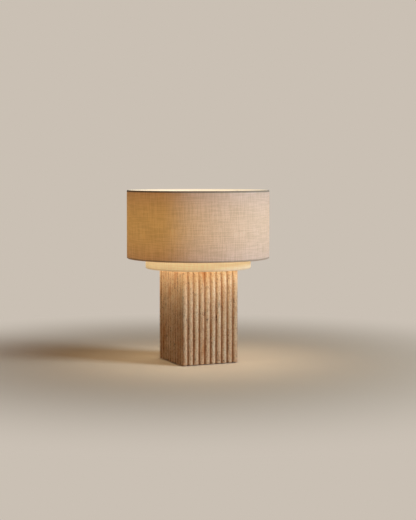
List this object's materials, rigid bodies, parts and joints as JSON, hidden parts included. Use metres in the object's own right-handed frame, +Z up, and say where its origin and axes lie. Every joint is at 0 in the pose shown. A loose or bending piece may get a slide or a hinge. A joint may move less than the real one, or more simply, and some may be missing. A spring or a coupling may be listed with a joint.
{
  "type": "column table lamp",
  "caption": "Table lamp with a square reeded travertine column under a linen drum shade with a smaller linen drum inside it that shows below its edge.",
  "frame": {"origin": "centre of the base on the surface it stands on", "axes": "+Z up; the column's faces are square to X and Y; the cable inlet faces +Y"},
  "size_m": [0.352, 0.352, 0.423],
  "materials": {
    "travertine": "honed, reeded, with open pores",
    "foot_felt": "dense felt",
    "black_cover": "powder coated",
    "zinc_steel": "zinc plated",
    "brass": "plain",
    "white_plastic": "moulded",
    "brown_insulation": "insulation",
    "blue_insulation": "insulation",
    "brushed_brass": "brushed",
    "black_phenolic": "moulded",
    "white_ceramic": "unglazed",
    "natural_linen": "woven linen with slubs",
    "pale_linen": "woven linen with slubs",
    "white_liner": "translucent liner",
    "white_wire": "powder coated",
    "nickel_cap": "nickel plated",
    "opal_globe": "opal diffuser",
    "led_white": "white board",
    "circuit_green": "circuit board"
  },
  "bodies": {
    "base": {"stone_column": "travertine", "foot_pads": "foot_felt", "base_cover": "black_cover", "cover_screws": "zinc_steel", "threaded_inserts": "brass", "cable_bushing": "brass", "bushing_locknut": "brass", "terminal_block": "white_plastic", "terminal_screws": "zinc_steel", "live_wire": "brown_insulation", "neutral_wire": "blue_insulation", "nipple": "zinc_steel", "clamp_washer": "zinc_steel", "clamp_nut": "zinc_steel", "top_plate": "brushed_brass", "holder_base": "black_phenolic", "holder_insulator": "white_ceramic", "holder_shell": "black_phenolic", "screw_shell": "brass", "centre_contact": "brass", "holder_terminals": "brass", "switch_nose": "brass", "switch_contact": "brass"},
    "switch": {"switch_knob": "black_phenolic", "switch_spindle": "brass"},
    "shade": {"outer_linen": "natural_linen", "outer_liner": "white_liner", "outer_bottom_ring": "white_wire", "inner_linen": "pale_linen", "inner_liner": "white_liner", "shade_fitter": "white_wire", "shade_arms": "white_wire", "shade_links": "white_wire", "inner_bottom_ring": "white_wire", "inner_top_ring": "white_wire", "outer_top_ring": "white_wire"},
    "ring_washer": {"shade_washer": "zinc_steel"},
    "ring": {"shade_ring": "black_phenolic"},
    "bulb": {"bulb_contact": "zinc_steel", "cap_insulator": "black_phenolic", "bulb_cap": "nickel_cap", "bulb_collar": "white_plastic", "bulb_globe": "opal_globe", "led_board": "led_white", "driver_board": "circuit_green"}
  },
  "joints": [
    {"name": "shade_swivel", "type": "hinge", "parent": "base", "child": "shade", "pos_m": [0, 0, 0.274], "axis": [0, 0, 1], "continuous": true},
    {"name": "ring_rise", "type": "slide", "parent": "base", "child": "ring_washer", "axis": [0, 0, 1], "range_m": [0, 0.01]},
    {"name": "ring_turn", "type": "hinge", "parent": "ring_washer", "child": "ring", "pos_m": [0, 0, 0.282], "axis": [0, 0, 1], "range_deg": [0, 1440]},
    {"name": "knob_turn", "type": "hinge", "parent": "base", "child": "switch", "pos_m": [0.03, 0, 0.252], "axis": [1, 0, 0], "continuous": true},
    {"name": "bulb_lift", "type": "slide", "parent": "base", "child": "bulb", "axis": [0, 0, 1], "range_m": [0, 0.16]}
  ],
  "couplings": [
    {"joint": "ring_rise", "follows": "ring_turn", "m_per_rad": 0.00039789}
  ]
}
